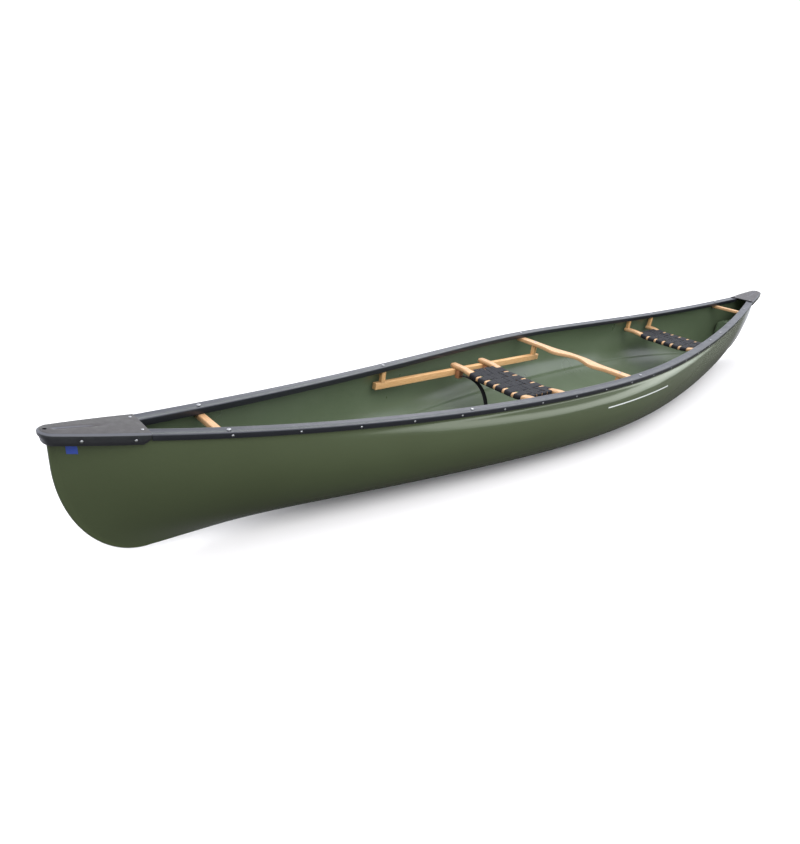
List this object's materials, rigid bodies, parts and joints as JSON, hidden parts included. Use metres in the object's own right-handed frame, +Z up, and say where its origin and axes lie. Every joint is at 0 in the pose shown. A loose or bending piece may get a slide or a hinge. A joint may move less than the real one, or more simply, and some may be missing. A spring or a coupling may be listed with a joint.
{
  "type": "open touring canoe",
  "caption": "Open canoe with a woven bow seat that slides on two rails, a fixed woven stern seat, a carved yoke, carry thwarts and capped ends.",
  "frame": {"origin": "lowest point of the keel amidships, on the boat's centre plane", "axes": "+X to the bow, +Y to port, +Z up"},
  "size_m": [4.7, 0.7796, 0.4731],
  "materials": {
    "hull_green": "glossy olive green composite skin, satin inside",
    "gunwale_black": "black extruded trim with fine lengthwise grooves",
    "bare_metal": "plain bright rivets, bolts and screws",
    "deck_plastic": "dark grey-brown moulded plastic with a fine texture",
    "tank_green": "satin green bulkhead over a foam block",
    "ash": "oiled light ash with fine straight grain",
    "guide_wood": "reddish brown hardwood block",
    "webbing": "black woven nylon webbing",
    "strap": "black woven strap"
  },
  "bodies": {
    "canoe": {"hull": "hull_green", "port_gunwale": "gunwale_black", "starboard_gunwale": "gunwale_black", "port_gunwale_rivets": "bare_metal", "starboard_gunwale_rivets": "bare_metal", "bow_deck": "deck_plastic", "stern_deck": "deck_plastic", "bow_deck_screws": "bare_metal", "stern_deck_screws": "bare_metal", "bow_float_tank": "tank_green", "stern_float_tank": "tank_green", "bow_carry_thwart": "ash", "stern_carry_thwart": "ash", "yoke": "ash", "thwart_bolts": "bare_metal", "thwart_nuts": "bare_metal", "port_slide_rail": "ash", "starboard_slide_rail": "ash", "port_front_hanger": "ash", "starboard_front_hanger": "ash", "port_rear_post": "ash", "starboard_rear_post": "ash", "slide_rail_bolts": "bare_metal", "slide_rail_nuts": "bare_metal", "stern_seat_front_rail": "ash", "stern_seat_rear_rail": "ash", "stern_seat_port_side": "ash", "stern_seat_starboard_side": "ash", "stern_seat_webbing": "webbing", "stern_seat_front_hangers": "ash", "stern_seat_rear_hangers": "ash", "stern_seat_bolts": "bare_metal", "stern_seat_nuts": "bare_metal"},
    "sliding_seat": {"slide_seat_front_rail": "ash", "slide_seat_rear_rail": "ash", "slide_seat_port_side": "ash", "slide_seat_starboard_side": "ash", "slide_seat_webbing": "webbing", "seat_guide_blocks": "guide_wood", "guide_block_screws": "bare_metal", "seat_strap": "strap"}
  },
  "joints": [
    {"name": "seat_slide", "type": "slide", "parent": "canoe", "child": "sliding_seat", "axis": [0.9995, 0, 0.0305], "range_m": [-0.36, 0.36]}
  ]
}
